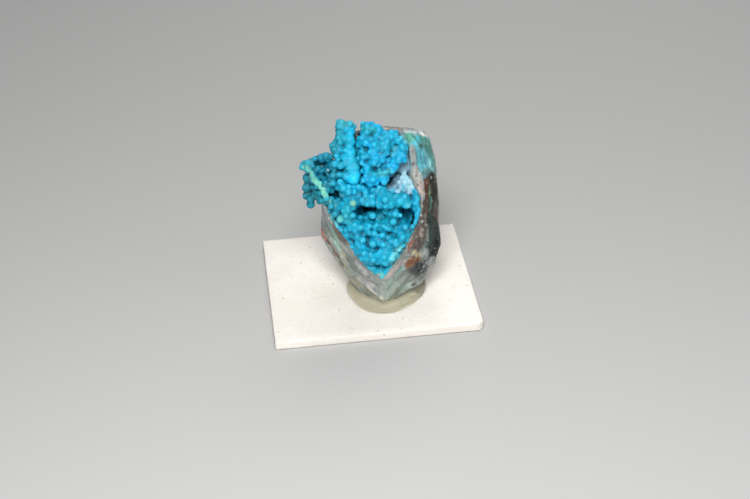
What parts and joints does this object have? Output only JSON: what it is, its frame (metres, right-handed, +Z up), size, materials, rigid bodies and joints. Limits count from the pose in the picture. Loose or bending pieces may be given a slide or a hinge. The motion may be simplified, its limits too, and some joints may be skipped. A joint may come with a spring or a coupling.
{
  "type": "chrysocolla specimen",
  "caption": "Wedge of quartz rock with a knobbly blue chrysocolla growth in its hollow front, leaning back in a puck of clear putty on a square of white foam.",
  "frame": {"origin": "middle of the foam slab's underside, on the surface that it stands on", "axes": "+Z up; the growth faces -Y, turned about 10 degrees towards -X and leaning back 25 degrees; the slab's sides run along X and Y"},
  "size_m": [0.055, 0.055, 0.0506],
  "materials": {
    "expanded_foam": "matt white expanded foam with a fine bead grain",
    "clear_putty": "clear, slightly yellow putty with a soft shine",
    "quartz_rock": "glassy quartz and chalcedony, grey and mint green with brown and rust patches",
    "blue_chrysocolla": "bright sky blue, waxy to glassy rounded lumps",
    "teal_chrysocolla": "teal blue rounded lumps with a mint green edge"
  },
  "bodies": {
    "root": {"foam_slab": "expanded_foam", "mounting_putty": "clear_putty", "quartz_matrix": "quartz_rock", "chrysocolla_crust": "blue_chrysocolla", "chrysocolla_fan": "blue_chrysocolla", "chrysocolla_spire": "blue_chrysocolla", "chrysocolla_left_branch": "teal_chrysocolla"}
  },
  "joints": []
}
